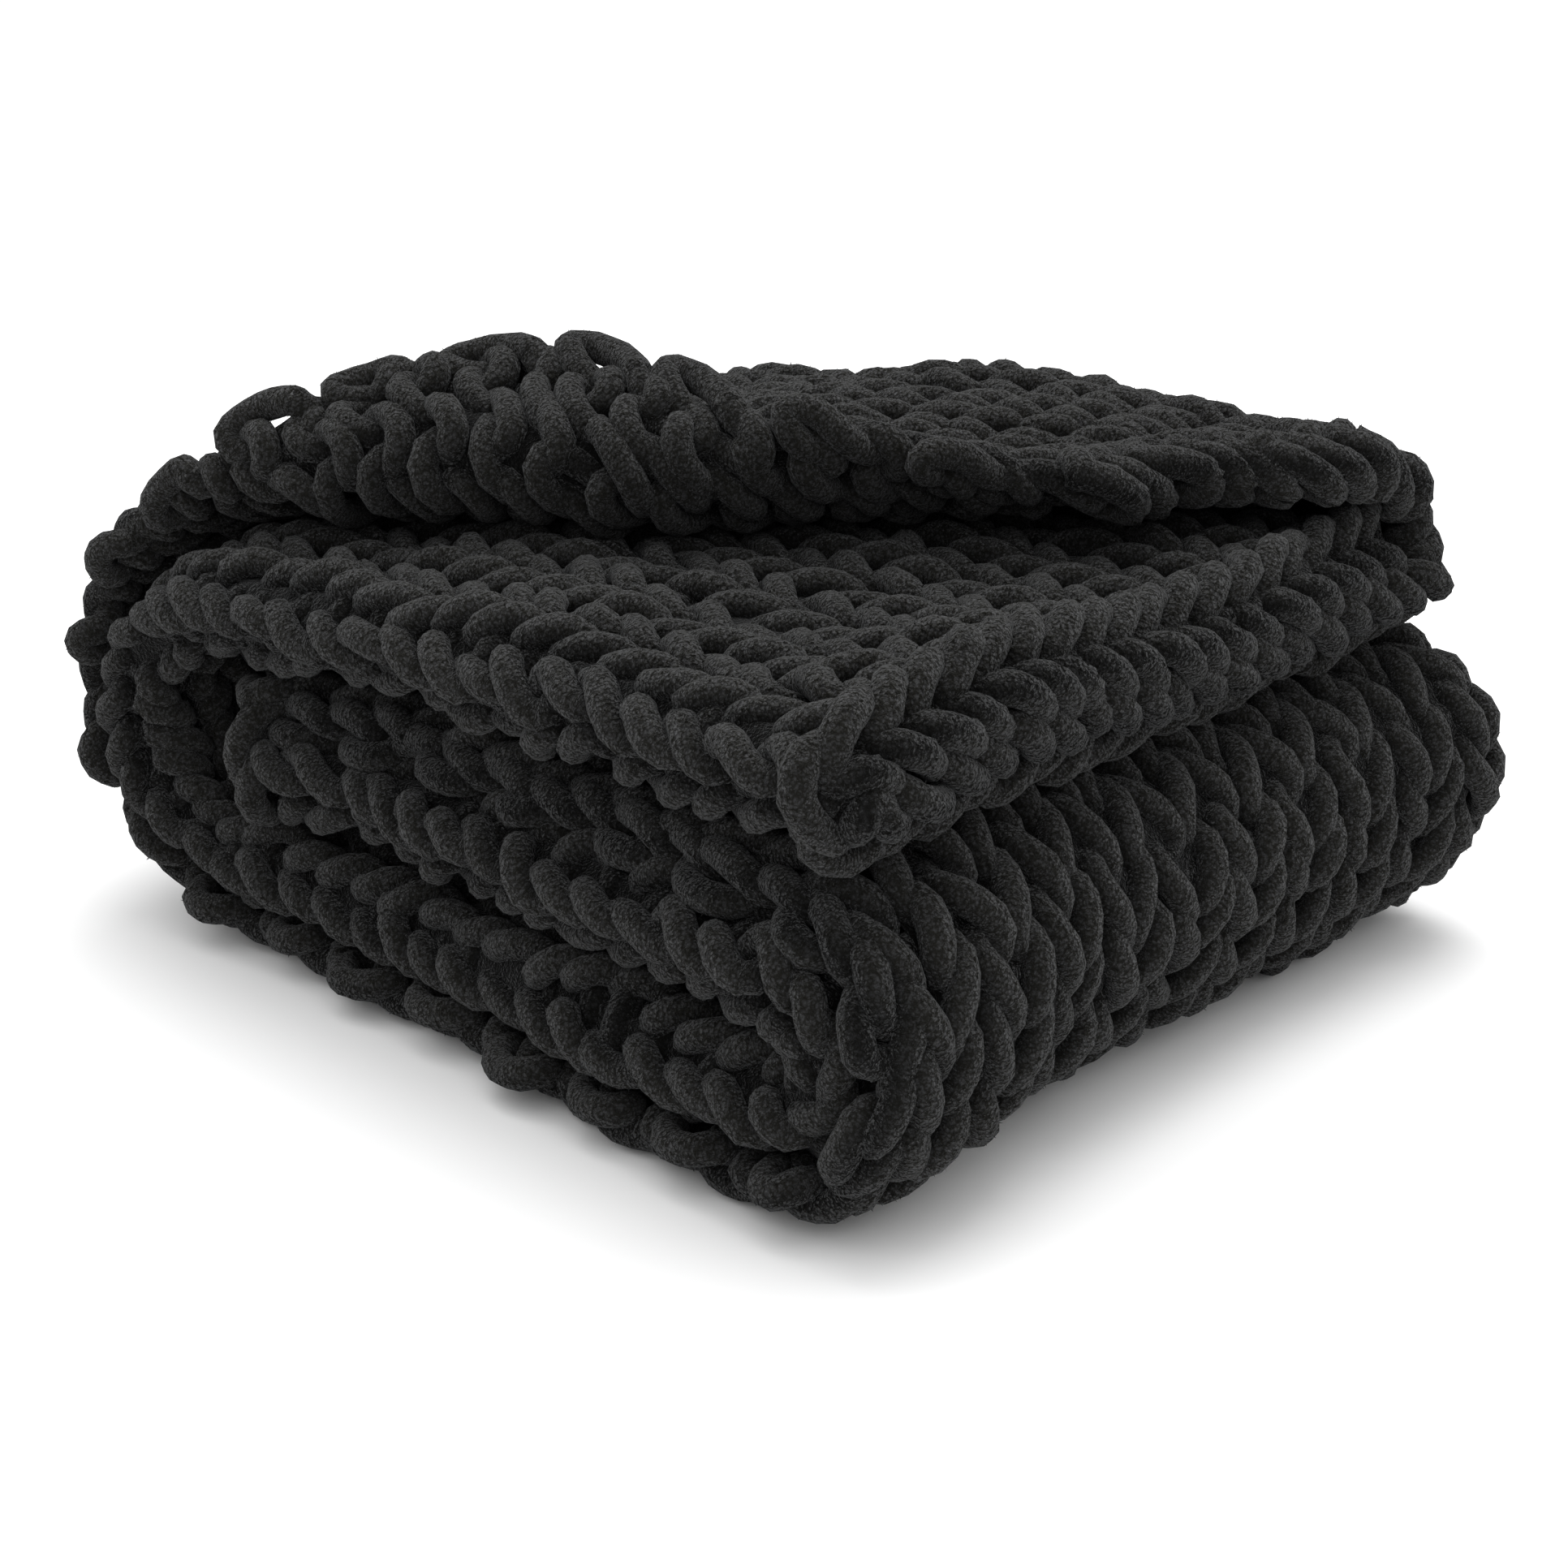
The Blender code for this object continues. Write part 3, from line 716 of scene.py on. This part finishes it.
lines = yarns()
groups, load, room = [[]], 0, 185000
for line in lines:
    cost = len(line) * SIDES * 2
    if load + cost > room:
        groups.append([])
        load = 0
    groups[-1].append(line)
    load += cost
yarn_look = chenille("black_chenille", 1.0)
knits = [tube_mesh(f"knit_{k + 1}", group) for k, group in enumerate(groups)]
chains = [end_chain(0), end_chain(1)]
knits.append(tube_mesh("end_edge_top", chains[0]))
knits.append(tube_mesh("end_edge_inside", chains[1]))
knits.append(fuzz("pile_ends", lines + chains[0], 1))
# the dark sheet between the yarns is painted shade, not part of the knit
cloth = painted_shade_sheet()
for piece in knits:
    piece.data.materials.append(yarn_look)
cloth.data.materials.append(chenille("chenille_painted_shade", 0.5))  # painted shade: the yarn's look at half tone on a sheet, standing for the shade in the gaps between the yarns
for piece in knits + [cloth]:
    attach(piece, "root")
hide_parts("throw")

# ---------------------------------------------------------------- floor, light and camera
floor_mesh = bpy.data.meshes.new("floor")
floor_mesh.from_pydata([(-9, -9, 0), (9, -9, 0), (9, 9, 0), (-9, 9, 0)], [], [(0, 1, 2, 3)])
floor = bpy.data.objects.new("floor", floor_mesh)
bpy.context.scene.collection.objects.link(floor)
floor_mesh.materials.append(plain("white_floor", (0.97, 0.97, 0.97), 0.9))

scene = bpy.context.scene
world = bpy.data.worlds.new("studio")
scene.world = world
world.use_nodes = True
sky = world.node_tree
background = sky.nodes["Background"]
background.inputs["Color"].default_value = (1.0, 1.0, 1.0, 1)
toward = sky.nodes.new("ShaderNodeTexCoord")
parts = sky.nodes.new("ShaderNodeSeparateXYZ")
high = sky.nodes.new("ShaderNodeMapRange")  # the light is strongest overhead
high.inputs["To Min"].default_value, high.inputs["To Max"].default_value = 0.16, 1.62
sky.links.new(toward.outputs["Generated"], parts.inputs[0])
sky.links.new(parts.outputs["Z"], high.inputs["Value"])
sky.links.new(high.outputs[0], background.inputs["Strength"])


def softbox(name, place_, aim, size, power):
    light = bpy.data.lights.new(name, "AREA")
    light.shape = "RECTANGLE"
    light.size, light.size_y = size
    light.energy = power
    o = bpy.data.objects.new(name, light)
    o.location = place_
    o.rotation_euler = (Vector(aim) - Vector(place_)).to_track_quat("-Z", "Y").to_euler()
    scene.collection.objects.link(o)


softbox("top_box", (-0.2, 0.5, 1.9), (0, 0, 0.1), (1.8, 1.8), 26)
softbox("front_box", (1.6, -1.9, 1.5), (0, 0, 0.1), (1.4, 1.4), 3)

camera_data = bpy.data.cameras.new("camera")
camera_data.sensor_width = 36
camera_data.lens = 3492 / 1932 * 36
camera_data.shift_y = 0.003
camera = bpy.data.objects.new("camera", camera_data)
scene.collection.objects.link(camera)
AZ, EL, DIST, TARGET = math.radians(42.47), math.radians(21.03), 1.373, Vector((0.0045, 0.007, 0.067))
camera.location = TARGET + DIST * Vector((math.sin(AZ) * math.cos(EL), -math.cos(AZ) * math.cos(EL), math.sin(EL)))
camera.rotation_euler = (TARGET - camera.location).to_track_quat("-Z", "Y").to_euler()
camera_data.clip_start = 0.05
scene.camera = camera
scene.view_settings.view_transform = "Standard"

print("pieces", [(p.name, sum(len(q.vertices) - 2 for q in p.data.polygons)) for p in knits])
